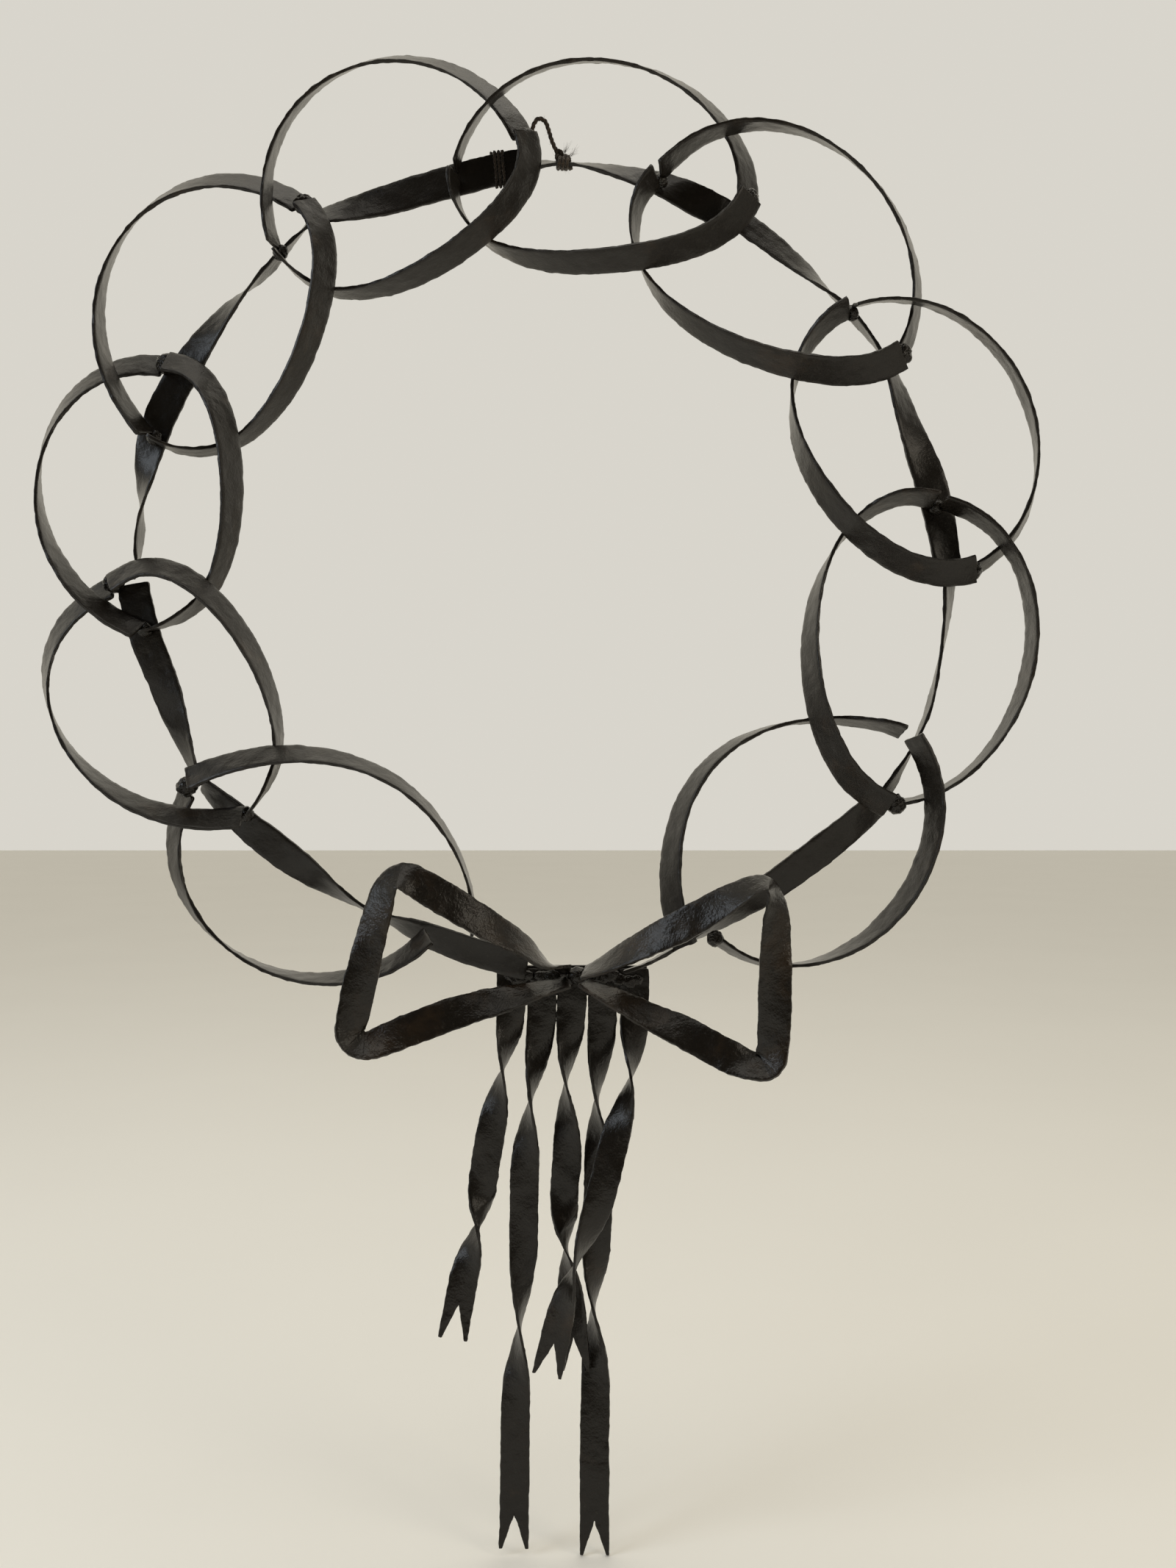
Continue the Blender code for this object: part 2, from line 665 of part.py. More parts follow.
def bow_loop(shop, name, stations):
    steps = STEPS_PER_STATION * (len(stations) - 1)
    places = []
    turns = []
    for step in range(steps + 1):
        share = step / steps
        forward = smooth(column(stations, 2), share)
        depth = PINCH_DEPTH + forward * (LOOP_DEPTH - PINCH_DEPTH)
        across = PINCH_X + smooth(column(stations, 0), share)
        up = PINCH_Y + smooth(column(stations, 1), share)
        places.append(Vector((across, up, depth)))
        turns.append(smooth(column(stations, 3), share))
    shop.strap(name, BOW_PAINT, places, turns)


def tail(shop, name):
    """A twisted tail, with a swallow-tail notch sawn out of its end."""
    stations = TAILS[name]
    top_x = TAILS_MIDDLE_X + (int(name) - 3) * TAIL_PITCH
    steps = STEPS_PER_STATION * (len(stations) - 1)
    places = []
    turns = []
    for step in range(steps + 1):
        share = step / steps
        across = top_x + smooth(column(stations, 0), share)
        up = TAILS_TOP_Y - smooth(column(stations, 1), share)
        places.append(Vector((across, up, smooth(column(stations, 2), share))))
        turns.append(smooth(column(stations, 3), share))
    strap = as_mesh(shop.strap(f"tail_{name}", TAIL_PAINT, places, turns, TAIL_WIDTH))
    notch = notch_cutter(f"tail_{name}_notch", places[-1], (places[-1] - places[-2]).normalized())
    shop.cutters.objects.link(notch)
    notch.parent = shop.stand
    cut = strap.modifiers.new("Notch", "BOOLEAN")
    cut.operation = "DIFFERENCE"
    cut.object = notch


def notch_cutter(name, end, heading):
    """A wedge, its point NOTCH_DEPTH up from the end, as wide at the end as the notch."""
    margin = 0.004
    half_width = NOTCH_SHARE * TAIL_WIDTH / 2 * (1 + margin / NOTCH_DEPTH)
    curve = bpy.data.curves.new(name, "CURVE")
    curve.dimensions = "2D"
    curve.fill_mode = "BOTH"
    curve.extrude = STRAP_WIDTH
    spline = curve.splines.new("POLY")
    spline.points.add(2)
    side = Vector((-heading.y, heading.x, 0)).normalized()
    point = end - heading * NOTCH_DEPTH
    base = end + heading * margin
    for corner, place in zip(spline.points, (point, base - side * half_width, base + side * half_width)):
        corner.co = (place.x, place.y, 0, 1)
    spline.use_cyclic_u = True
    guide = bpy.data.objects.new(name, curve)
    bpy.context.scene.collection.objects.link(guide)
    bpy.context.view_layer.update()
    evaluated = guide.evaluated_get(bpy.context.evaluated_depsgraph_get())
    mesh = bpy.data.meshes.new_from_object(evaluated)
    bpy.data.objects.remove(guide)
    body = bmesh.new()
    body.from_mesh(mesh)
    bmesh.ops.remove_doubles(body, verts=body.verts, dist=0.000001)
    bmesh.ops.recalc_face_normals(body, faces=body.faces)
    body.to_mesh(mesh)
    body.free()
    notch = bpy.data.objects.new(name, mesh)
    notch.display_type = "WIRE"
    notch.hide_render = True
    return notch


def block(shop, name, middle, size, finish, bevel, turn=0.0):
    """A rectangular block with rounded edges, cut away where straps pass."""
    body = bmesh.new()
    bmesh.ops.create_cube(body, size=1.0)
    bmesh.ops.scale(body, vec=size, verts=body.verts)
    bmesh.ops.bevel(body, geom=body.edges[:], offset=bevel, segments=2, profile=0.5, affect="EDGES")
    bmesh.ops.rotate(body, cent=(0, 0, 0), matrix=Matrix.Rotation(turn, 3, "Z"), verts=body.verts)
    bmesh.ops.translate(body, vec=middle, verts=body.verts)
    shop.solid(name, body, finish)


def cross_bar(shop):
    """The flat bar that carries the tails, plain so that its back is a clean face."""
    body = bmesh.new()
    bmesh.ops.create_cube(body, size=1.0)
    bmesh.ops.scale(body, vec=(BAR_LENGTH, BAR_WIDTH, BAR_THICKNESS), verts=body.verts)
    bmesh.ops.translate(body, vec=(TAILS_MIDDLE_X, BAR_Y, BAR_DEPTH), verts=body.verts)
    shop.solid("cross_bar", body, BAR_PAINT)


def tail_weld(shop):
    depth = TAIL_WELD_FRONT - TAIL_WELD_THICKNESS / 2
    size = (BAR_LENGTH - 2 * TAIL_WELD_THICKNESS, TAIL_WELD_HEIGHT, TAIL_WELD_THICKNESS)
    middle = (TAILS_MIDDLE_X, TAIL_WELD_Y, depth)
    block(shop, "tail_weld", middle, size, WELD_PAINT, TAIL_WELD_THICKNESS / 3)


def start_weld(shop, name):
    """The bead beside the start of a hoop, in the corner between the hoop and the backbone."""
    angle, outside = HOOPS[name][0]
    place = on_clock(angle, outside)
    heading = (on_clock(angle + 1) - on_clock(angle - 1)).normalized()
    front = backbone_at(angle)[0]
    place = place + heading * START_BEAD[0] / 3
    body = lump(Vector((*place, front + START_BEAD[2] / 2)), heading, START_BEAD)
    shop.solid(f"weld_{name}_start", body, WELD_PAINT)


def end_weld(shop, name):
    """The bead at the end of a hoop, between the ends of both its halves and the backbone's edge."""
    angle, outside = HOOPS[name][1]
    heading, tuck = end_tuck(name, True)
    place = on_clock(angle, outside) - heading * (tuck - SHORT_OF_TUCK / 2)
    along = (on_clock(angle + 1) - on_clock(angle - 1)).normalized()
    front = backbone_at(angle)[0]
    size = START_BEAD if name == "06" else END_BEAD
    body = lump(Vector((*place, front)), along, size)
    shop.solid(f"weld_{name}_end", body, WELD_PAINT)


def bow_weld(shop):
    place = Vector((PINCH_X, PINCH_Y, BOW_WELD_DEPTH))
    shop.solid("bow_weld", lump(place, Vector((1, 0)), BOW_WELD), WELD_PAINT)


def hanging_cord(shop):
    """The loop of twine, a plain tube along its route, and the room left for it."""
    route = [Vector(place) for place in CORD_ROUTE]
    for name, growth, collection in (("cord_room", GAP, shop.cutters), ("hanging_cord", 0.0, shop.parts)):
        first = route[0] + (route[0] - route[1]).normalized() * growth
        last = route[-1] + (route[-1] - route[-2]).normalized() * growth
        places = [first, *route[1:-1], last]
        curve = bpy.data.curves.new(name, "CURVE")
        curve.dimensions = "3D"
        curve.bevel_depth = CORD_DIAMETER / 2 + growth
        curve.bevel_resolution = 2
        curve.use_fill_caps = True
        steps = 2 * (len(places) - 1)
        spline = curve.splines.new("POLY")
        spline.points.add(steps)
        for step, point in enumerate(spline.points):
            share = step / steps
            point.co = (*[smooth(column(places, axis), share) for axis in range(3)], 1)
        tube = bpy.data.objects.new(name, curve)
        collection.objects.link(tube)
        tube.parent = shop.stand
        if growth:
            shop.keep_room(as_mesh(tube))
        else:
            curve.materials.append(new_material(name, TWINE_DYE))


def cord_wrapping(shop):
    """The turns of twine round the backbone, as one closed collar."""
    middle = on_clock(WRAP_ANGLE, BACKBONE["05"][-2][1] + 0.002)
    size = (WRAP_LENGTH, STRAP_WIDTH + 2 * WRAP_WALL, STRAP_THICKNESS + 2 * WRAP_WALL)
    turn = -math.radians(WRAP_ANGLE)
    block(shop, "cord_wrapping", (*middle, 0.0), size, TWINE_DYE, WRAP_WALL / 2, turn)


def cord_knot(shop):
    """The knot round the edge-on stretch of the backbone."""
    middle = on_clock(KNOT_ANGLE, BACKBONE["06"][1][1])
    heading = (on_clock(KNOT_ANGLE + 1) - on_clock(KNOT_ANGLE - 1)).normalized()
    body = lump(Vector((*middle, backbone_depth("06", KNOT_ANGLE, 0))), heading, KNOT_SIZE, KNOT_LEAN)
    shop.solid("cord_knot", body, TWINE_DYE)


def main():
    clear_scene()
    shop = Shop()
    for name in HOOPS:
        hoop_half(shop, name, True)
        hoop_half(shop, name, False)
    for name in BACKBONE:
        backbone_length(shop, name)
    bow_loop(shop, "bow_left_loop", BOW_LEFT)
    bow_loop(shop, "bow_right_loop", BOW_RIGHT)
    for name in TAILS:
        tail(shop, name)
    hanging_cord(shop)
    cross_bar(shop)
    tail_weld(shop)
    bow_weld(shop)
    for name in HOOPS:
        end_weld(shop, name)
        if name not in NO_START_BEAD:
            start_weld(shop, name)
    cord_wrapping(shop)
    cord_knot(shop)


main()
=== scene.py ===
# %% [markdown]
# # A strap-iron door wreath
#
# The real wreath is welded from flat bar, 19 mm wide and 2 mm thick. Ten hoops link through each other on
# a twisted backbone, and a bow with five notched tails hangs from its foot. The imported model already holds
# each strap as a clean solid, so this lesson keeps those places and gives the straps what a smith leaves
# on them: wavy edges, hammer marks, lumpy welds and a dark bronze paint with brown in it.

import math
import random

import bmesh
import bpy
from mathutils import Matrix, Vector, kdtree


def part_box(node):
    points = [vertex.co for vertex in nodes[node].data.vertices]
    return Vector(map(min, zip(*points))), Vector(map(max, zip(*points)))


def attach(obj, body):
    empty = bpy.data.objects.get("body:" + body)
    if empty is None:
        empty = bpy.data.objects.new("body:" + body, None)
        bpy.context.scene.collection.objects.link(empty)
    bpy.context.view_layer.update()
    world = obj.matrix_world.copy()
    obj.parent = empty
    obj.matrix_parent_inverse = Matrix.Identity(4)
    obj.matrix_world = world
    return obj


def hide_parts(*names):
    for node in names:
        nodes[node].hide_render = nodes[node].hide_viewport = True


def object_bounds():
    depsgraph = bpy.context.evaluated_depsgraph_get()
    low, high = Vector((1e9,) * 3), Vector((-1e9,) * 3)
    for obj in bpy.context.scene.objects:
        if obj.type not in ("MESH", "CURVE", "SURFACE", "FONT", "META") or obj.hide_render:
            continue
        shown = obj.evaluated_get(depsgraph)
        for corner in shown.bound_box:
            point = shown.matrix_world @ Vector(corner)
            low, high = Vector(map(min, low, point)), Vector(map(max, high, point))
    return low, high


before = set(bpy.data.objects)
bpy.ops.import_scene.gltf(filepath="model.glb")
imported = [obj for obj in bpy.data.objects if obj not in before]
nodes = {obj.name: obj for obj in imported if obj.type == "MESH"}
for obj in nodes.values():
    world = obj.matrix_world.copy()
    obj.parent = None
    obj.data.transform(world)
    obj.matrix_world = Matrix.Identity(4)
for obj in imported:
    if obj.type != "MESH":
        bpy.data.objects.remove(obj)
cad_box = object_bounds()
low = Vector(cad_box[0])
high = Vector(cad_box[1])
print("nodes:", len(nodes), "size in mm:", [round(1000 * side) for side in high - low])

# %% [markdown]
# ## Camera
#
# The wreath is seen from straight ahead, from about 0.76 m, a little to the right of the middle of its
# ring and level with the lower part of it. A lens of 38.8 mm on a 36 mm wide sensor gives the same spread
# of view as the small lens of a telephone at that distance.

# %% Camera
VIEW_DISTANCE = 0.7634
VIEW_X = 0.0285
VIEW_Z = -0.3991
LENS_MM = 38.8
SENSOR_MM = 36.0

camera_data = bpy.data.cameras.new("camera")
camera_data.sensor_fit = "HORIZONTAL"
camera_data.sensor_width = SENSOR_MM
camera_data.lens = LENS_MM
camera_data.clip_start = 0.01
camera = bpy.data.objects.new("camera", camera_data)
camera.location = (VIEW_X, -VIEW_DISTANCE, VIEW_Z)
camera.rotation_euler = (math.pi / 2, 0, 0)
bpy.context.scene.collection.objects.link(camera)
bpy.context.scene.camera = camera
print("camera at", tuple(round(value, 3) for value in camera.location))

# %% [markdown]
# ## Sums in shaders
#
# A pattern is easier to read as a sum than as a chain of nodes. `Value` wraps a socket so that `a * b + c`
# adds the Math nodes, and `Recipe.node` adds any other node with its settings and inputs.


# %% A small language for materials
DENT_SMOOTHNESS = 0.6


class Value:
    """A number that changes over the surface."""

    def __init__(self, recipe, socket):
        self.recipe = recipe
        self.socket = socket

    def sum_with(self, operation, first, second):
        made = self.recipe.node("ShaderNodeMath", {"operation": operation}, {0: first, 1: second})
        return Value(self.recipe, made.outputs[0])

    def __add__(self, other):
        return self.sum_with("ADD", self, other)

    def __radd__(self, other):
        return self.sum_with("ADD", other, self)

    def __sub__(self, other):
        return self.sum_with("SUBTRACT", self, other)

    def __mul__(self, other):
        return self.sum_with("MULTIPLY", self, other)


class Recipe:
    """A material and the nodes in it."""

    def __init__(self, name):
        self.material = bpy.data.materials.new(name)
        self.material.use_nodes = True
        self.tree = self.material.node_tree
        self.shader = self.tree.nodes["Principled BSDF"]
        place = self.node("ShaderNodeTexCoord", {}, {})
        self.place = place.outputs["Object"]

    def node(self, kind, settings, inputs):
        made = self.tree.nodes.new(kind)
        for name, value in settings.items():
            setattr(made, name, value)
        for name, value in inputs.items():
            self.feed(made.inputs[name], value)
        return made

    def feed(self, socket, value):
        if isinstance(value, Value):
            value = value.socket
        if isinstance(value, bpy.types.NodeSocket):
            self.tree.links.new(value, socket)
        elif isinstance(value, tuple) and len(value) == 3 and socket.type == "RGBA":
            socket.default_value = (*value, 1)
        else:
            socket.default_value = value

    def noise(self, per_metre, detail=2.0, roughness=0.5, distortion=0.0):
        inputs = {"Vector": self.place, "Scale": per_metre, "Detail": detail}
        inputs.update({"Roughness": roughness, "Distortion": distortion})
        made = self.node("ShaderNodeTexNoise", {}, inputs)
        return Value(self, made.outputs["Fac"])

    def dents(self, per_metre):
        settings = {"feature": "SMOOTH_F1"}
        inputs = {"Vector": self.place, "Scale": per_metre, "Smoothness": DENT_SMOOTHNESS}
        made = self.node("ShaderNodeTexVoronoi", settings, inputs)
        return Value(self, made.outputs["Distance"])

    def step(self, value, start, end):
        """0 below start, 1 above end, and smooth between them."""
        settings = {"interpolation_type": "SMOOTHSTEP"}
        made = self.node("ShaderNodeMapRange", settings, {0: value, 1: start, 2: end})
        return Value(self, made.outputs[0])

    def attribute(self, name):
        made = self.node("ShaderNodeAttribute", {"attribute_name": name}, {})
        return Value(self, made.outputs["Fac"])

    def mix(self, share, first, second):
        made = self.node("ShaderNodeMix", {"data_type": "RGBA"}, {0: share, 6: first, 7: second})
        return made.outputs[2]

    def bump(self, height, strength, distance, under=None):
        inputs = {"Strength": strength, "Distance": distance, "Height": height}
        if under is not None:
            inputs["Normal"] = under
        return self.node("ShaderNodeBump", {}, inputs).outputs[0]

    def finish(self, colour, roughness, normal, **constants):
        self.feed(self.shader.inputs["Base Color"], colour)
        self.feed(self.shader.inputs["Roughness"], roughness)
        self.feed(self.shader.inputs["Normal"], normal)
        for name, value in constants.items():
            self.feed(self.shader.inputs[name.replace("_", " ")], value)
        return self.material


print("ready to mix materials")

# %% [markdown]
# ## The paint
#
# The iron has a dark bronze paint: nearly black, browner in patches, with a fine orange peel where it went
# on thick. It is half glossy, so most of its colour comes from what it reflects. Along the edges the paint
# is thin, and a greyer brown shows. One recipe with a few settings makes the hoops, the backbone, the bow,
# the tails and the welds, because each was sprayed in the same go but looks a little different.

# %% Paint recipe
BLACK_BROWN = (0.0085, 0.0064, 0.0045)
BRONZE_BROWN = (0.0270, 0.0170, 0.0095)
EDGE_GREY = (0.0500, 0.0430, 0.0330)
DUST_GREY = (0.0420, 0.0370, 0.0280)
PAINT_SHEEN = 0.38


def iron_paint(name, brown, gloss, peel, dent):
    recipe = Recipe(name)
    patches = recipe.noise(22, detail=4, roughness=0.6)
    streaks = recipe.noise(70, detail=5, roughness=0.65, distortion=0.6)
    grain = recipe.noise(850, detail=2, roughness=0.5)
    blotch = recipe.step(patches * 0.6 + streaks * 0.4, 0.62 - 0.30 * brown, 0.78 - 0.20 * brown)
    colour = recipe.mix(blotch, BLACK_BROWN, BRONZE_BROWN)
    specks = recipe.step(recipe.noise(420, detail=3, roughness=0.7), 0.60, 0.72)
    colour = recipe.mix(specks * 0.35, colour, DUST_GREY)
    rim = recipe.attribute("rim")
    worn = recipe.step(rim + streaks * 0.5, 1.08, 1.36)
    colour = recipe.mix(worn * 0.55, colour, EDGE_GREY)
    roughness = gloss + streaks * 0.16 + specks * 0.12 + worn * 0.10 - blotch * 0.05
    hammered = recipe.bump(recipe.dents(115), dent, 0.0009)
    drawn = recipe.bump(recipe.noise(190, detail=3), 0.45, 0.0007, hammered)
    lumpy = recipe.bump(recipe.noise(420, detail=2, roughness=0.6), peel, 0.0007, drawn)
    orange_peel = recipe.bump(grain, peel, 0.0004, lumpy)
    recipe.shader.inputs["Specular IOR Level"].default_value = PAINT_SHEEN
    return recipe.finish(colour, roughness, orange_peel, IOR=1.5, Coat_Weight=0.0)


paints = {
    "hoop_paint": iron_paint("hoop paint", 0.35, 0.27, 0.20, 0.45),
    "backbone_paint": iron_paint("backbone paint", 0.20, 0.27, 0.20, 0.50),
    "bow_paint": iron_paint("bow paint", 0.60, 0.23, 0.45, 0.55),
    "tail_paint": iron_paint("tail paint", 0.25, 0.24, 0.35, 0.55),
    "bar_paint": iron_paint("bar paint", 0.20, 0.34, 0.30, 0.60),
    "weld_paint": iron_paint("weld paint", 0.05, 0.18, 0.90, 0.90),
}
print("paints:", sorted(paints))

# %% [markdown]
# ## The twine's colour
#
# The hanging loop is tied from thin brown twine, dark with age and handling. Its strands are dull and
# fuzzy, so the colour is broken up finely and there is almost no gloss.


# %% Twine recipe
def twine_fibre(name, dark, light):
    recipe = Recipe(name)
    strands = recipe.noise(1500, detail=4, roughness=0.7)
    stains = recipe.noise(160, detail=3)
    colour = recipe.mix(recipe.step(strands * 0.6 + stains * 0.4, 0.38, 0.64), dark, light)
    roughness = 0.82 + strands * 0.12
    fibres = recipe.bump(strands, 0.9, 0.0003)
    return recipe.finish(colour, roughness, fibres, Sheen_Weight=0.25, Sheen_Roughness=0.5)


twine_dye = twine_fibre("twine", (0.016, 0.011, 0.007), (0.070, 0.047, 0.028))
fuzz_dye = twine_fibre("twine fuzz", (0.045, 0.031, 0.019), (0.115, 0.082, 0.050))
print("twine and fuzz ready")

# %% [markdown]
# ## Working by hand in code
#
# These helpers pick one object, take a CAD solid's mesh as a start, and hand a finished piece over to the
# frame. A copy of a CAD solid is loose triangles, so it is merged, and its triangles are joined back into
# the four-sided faces that a subdivision surface likes.


# %% Helpers for pieces
def pick(obj):
    bpy.ops.object.select_all(action="DESELECT")
    obj.select_set(True)
    bpy.context.view_layer.objects.active = obj


def copy_of(node, name):
    mesh = nodes[node].data.copy()
    mesh.materials.clear()
    obj = bpy.data.objects.new(name, mesh)
    bpy.context.scene.collection.objects.link(obj)
    pick(obj)
    bpy.ops.object.mode_set(mode="EDIT")
    bpy.ops.mesh.select_all(action="SELECT")
    bpy.ops.mesh.remove_doubles(threshold=0.00001)
    bpy.ops.mesh.tris_convert_to_quads(face_threshold=math.radians(60), shape_threshold=math.radians(60))
    bpy.ops.object.mode_set(mode="OBJECT")
    return obj


def apply(obj, kind, **settings):
    modifier = obj.modifiers.new(kind.title(), kind)
    for name, value in settings.items():
        setattr(modifier, name, value)
    pick(obj)
    bpy.ops.object.modifier_apply(modifier=modifier.name)


def keep_in_box(obj):
    """No vertex stands outside the box of the CAD solids."""
    for vert in obj.data.vertices:
        for axis in range(3):
            vert.co[axis] = min(max(vert.co[axis], low[axis]), high[axis])


def hand_over(obj, material, replaced=()):
    keep_in_box(obj)
    obj.data.materials.clear()
    obj.data.materials.append(material)
    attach(obj, "root")
    if replaced:
        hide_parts(*replaced)


print("helpers ready")

# %% [markdown]
# ## Hanging cord
#
# The twine is wrapped round the backbone, rises in a small arch, and comes down to a knot on the other
# side. The route is the one that the solids were made along: x to the right, y up from the middle of the
# ring, and depth towards the viewer. It is about 62 mm long from the wrapping to the knot.

# %% Route of the cord
HANG = Vector((-0.0020, 0.2570, -0.0014))
TWINE = 0.0028
CORD_ROUTE = (
    (-0.0215, 0.2308, -0.0040),
    (-0.0180, 0.2312, -0.0040),
    (-0.0145, 0.2330, -0.0040),
    (-0.0112, 0.2370, -0.0038),
    (-0.0084, 0.2422, -0.0032),
    (-0.0072, 0.2480, -0.0024),
    (-0.0066, 0.2540, -0.0018),
    (-0.0036, 0.2584, -0.0014),
    (0.0006, 0.2570, -0.0014),
    (0.0028, 0.2520, -0.0020),
    (0.0046, 0.2464, -0.0032),
    (0.0072, 0.2412, -0.0048),
    (0.0094, 0.2382, -0.0056),
)


def stood_up(x, y, depth):
    return Vector((x - HANG.x, HANG.z - depth, y - HANG.y))


def smooth_line(points, spacing):
    """Places close together on a smooth curve through the points."""
    line = []
    for index in range(len(points) - 1):
        before = points[max(index - 1, 0)]
        start = points[index]
        end = points[index + 1]
        after = points[min(index + 2, len(points) - 1)]
        pieces = max(1, round((end - start).length / spacing))
        for piece in range(pieces):
            t = piece / pieces
            a = 2 * t**3 - 3 * t**2 + 1
            b = t**3 - 2 * t**2 + t
            c = 3 * t**2 - 2 * t**3
            d = t**3 - t**2
            line.append(a * start + b * (end - before) / 2 + c * end + d * (after - start) / 2)
    line.append(points[-1])
    return line


def line_length(line):
    return sum((b - a).length for a, b in zip(line, line[1:]))


CORD_SPACING = 0.0006
cord_line = smooth_line([stood_up(*point) for point in CORD_ROUTE], CORD_SPACING)
print("cord is", round(1000 * line_length(cord_line), 1), "mm long")

# %% [markdown]
# ## Twisted twine
#
# Twine is three strands laid round each other. A tube whose outline has three lobes, turned steadily as it
# goes along, has the same grooves and costs far less than three tubes. The outline is a small closed curve
# that the cord's curve is drawn out with.

# %% A twisted strand
LAY_LENGTH = 0.0085
LOBES = 3
LOBE_DEPTH = 0.14
OUTLINE_POINTS = 24


def lobed_outline(radius):
    curve = bpy.data.curves.new("outline", "CURVE")
    curve.dimensions = "2D"
    spline = curve.splines.new("POLY")
    spline.points.add(OUTLINE_POINTS - 1)
    for index, point in enumerate(spline.points):
        angle = 2 * math.pi * index / OUTLINE_POINTS
        reach = radius * (1 - LOBE_DEPTH + LOBE_DEPTH * math.cos(LOBES * angle))
        point.co = (reach * math.cos(angle), reach * math.sin(angle), 0, 1)
    spline.use_cyclic_u = True
    outline = bpy.data.objects.new("outline", curve)
    bpy.context.scene.collection.objects.link(outline)
    return outline


def twine_along(name, line, diameter):
    outline = lobed_outline(diameter / 2)
    curve = bpy.data.curves.new(name, "CURVE")
    curve.dimensions = "3D"
    curve.bevel_mode = "OBJECT"
    curve.bevel_object = outline
    curve.use_fill_caps = True
    spline = curve.splines.new("POLY")
    spline.points.add(len(line) - 1)
    travelled = 0.0
    for index, point in enumerate(spline.points):
        if index:
            travelled += (line[index] - line[index - 1]).length
        point.co = (*line[index], 1)
        point.tilt = 2 * math.pi * travelled / LAY_LENGTH
    obj = bpy.data.objects.new(name, curve)
    bpy.context.scene.collection.objects.link(obj)
    pick(obj)
    bpy.ops.object.convert(target="MESH")
    bpy.data.objects.remove(outline)
    bpy.ops.object.mode_set(mode="EDIT")
    bpy.ops.mesh.select_all(action="SELECT")
    bpy.ops.mesh.remove_doubles(threshold=0.000005)
    bpy.ops.mesh.normals_make_consistent(inside=False)
    bpy.ops.object.mode_set(mode="OBJECT")
    bpy.ops.object.shade_smooth_by_angle(angle=math.radians(50))
    return obj


cord = twine_along("twine_loop", cord_line, TWINE)
hand_over(cord, twine_dye, ["hanging_cord"])
print("twine loop has", len(cord.data.polygons), "faces")

# %% [markdown]
# ## Wrapping and knots
#
# On the left the twine goes a little over three times round the flat backbone. On the right it is knotted
# round the backbone where that stands on edge, and a frayed overhand knot sits just above. A wrapping is a
# helix with a flattened outline, and a knot is the curve of a trefoil drawn tight. The turns on the right
# lean as the backbone does there, with their fronts lower than their backs.

# %% Wrapping round the flat of the backbone
WRAP_TURNS = 3.4
WRAP_PITCH = 0.0023
WRAP_TWINE = 0.0021
WRAP_HALF_DEPTH = 0.0022
WRAP_INSET = 0.0017
WRAP_LEAN = math.radians(7)
COIL_STEPS = 20
COIL_SPACING = 0.0007


def frame_of(node):
    """The middle of a solid's box and its three half sizes."""
    least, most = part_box(node)
    return (least + most) / 2, (most - least) / 2


def flat_coil(middle, along, half_wide, half_deep, turns, pitch):
    """A coil with a rounded rectangle for its outline, wound along a direction in the front view."""
    across = Vector((-along.z, 0, along.x))
    points = []
    steps = round(turns * COIL_STEPS)
    for step in range(steps + 1):
        angle = 2 * math.pi * step / COIL_STEPS
        cos = math.cos(angle)
        sin = math.sin(angle)
        wide = half_wide * math.copysign(abs(cos) ** 0.55, cos)
        deep = half_deep * math.copysign(abs(sin) ** 0.75, sin)
        shift = pitch * (step / COIL_STEPS - turns / 2)
        points.append(middle + along * shift + across * wide + Vector((0, deep, 0)))
    return smooth_line(points, COIL_SPACING)


wrap_middle, wrap_half = frame_of("cord_wrapping")
wrap_along = Vector((math.cos(WRAP_LEAN), 0, math.sin(WRAP_LEAN)))
wrap_half_wide = wrap_half.z - WRAP_INSET
wrap_line = flat_coil(wrap_middle, wrap_along, wrap_half_wide, WRAP_HALF_DEPTH, WRAP_TURNS, WRAP_PITCH)
wrapping = twine_along("twine_wrapping", wrap_line, WRAP_TWINE)
hand_over(wrapping, twine_dye, ["cord_wrapping"])
print("wrapping uses", round(1000 * line_length(wrap_line)), "mm of twine")


# %% Knots
KNOT_TWINE = 0.0024
KNOT_TURNS = 3.4
KNOT_HALF_HEIGHT = 0.0030
KNOT_HALF_DEPTH = 0.0104
KNOT_LEAN = math.radians(26)
OVERHAND_TWINE = 0.0022
TREFOIL_POINTS = 60


def trefoil(middle, size, turn):
    """An overhand knot drawn tight, as a closed line."""
    spin = Matrix.Rotation(turn, 3, "Y")
    line = []
    for step in range(TREFOIL_POINTS):
        t = 2 * math.pi * step / TREFOIL_POINTS
        x = math.sin(t) + 2 * math.sin(2 * t)
        z = math.cos(t) - 2 * math.cos(2 * t)
        y = -math.sin(3 * t)
        place = Vector((x * size.x / 3, y * size.y, z * size.z / 3))
        line.append(middle + spin @ place)
    return line


knot_middle = frame_of("cord_knot")[0]
knot_along = Vector((1, 0, -0.05)).normalized()
knot_lean = Matrix.Rotation(KNOT_LEAN, 3, "X")
upright_line = flat_coil(
    knot_middle, knot_along, KNOT_HALF_HEIGHT, KNOT_HALF_DEPTH, KNOT_TURNS, KNOT_TWINE
)
knot_line = [knot_middle + knot_lean @ (place - knot_middle) for place in upright_line]
knot_turns = twine_along("twine_knot_turns", knot_line, KNOT_TWINE)
hand_over(knot_turns, twine_dye, ["cord_knot"])
overhand_place = cord_line[-1] + Vector((0.0006, 0, -0.0004))
overhand_line = trefoil(overhand_place, Vector((0.0036, 0.0018, 0.0034)), 0.4)
overhand = twine_along("twine_overhand_knot", overhand_line, OVERHAND_TWINE)
hand_over(overhand, twine_dye)
over_place = knot_middle + Vector((0.0022, -0.0050, -0.0024))
over_line = trefoil(over_place, Vector((0.0042, 0.0020, 0.0030)), 1.3)
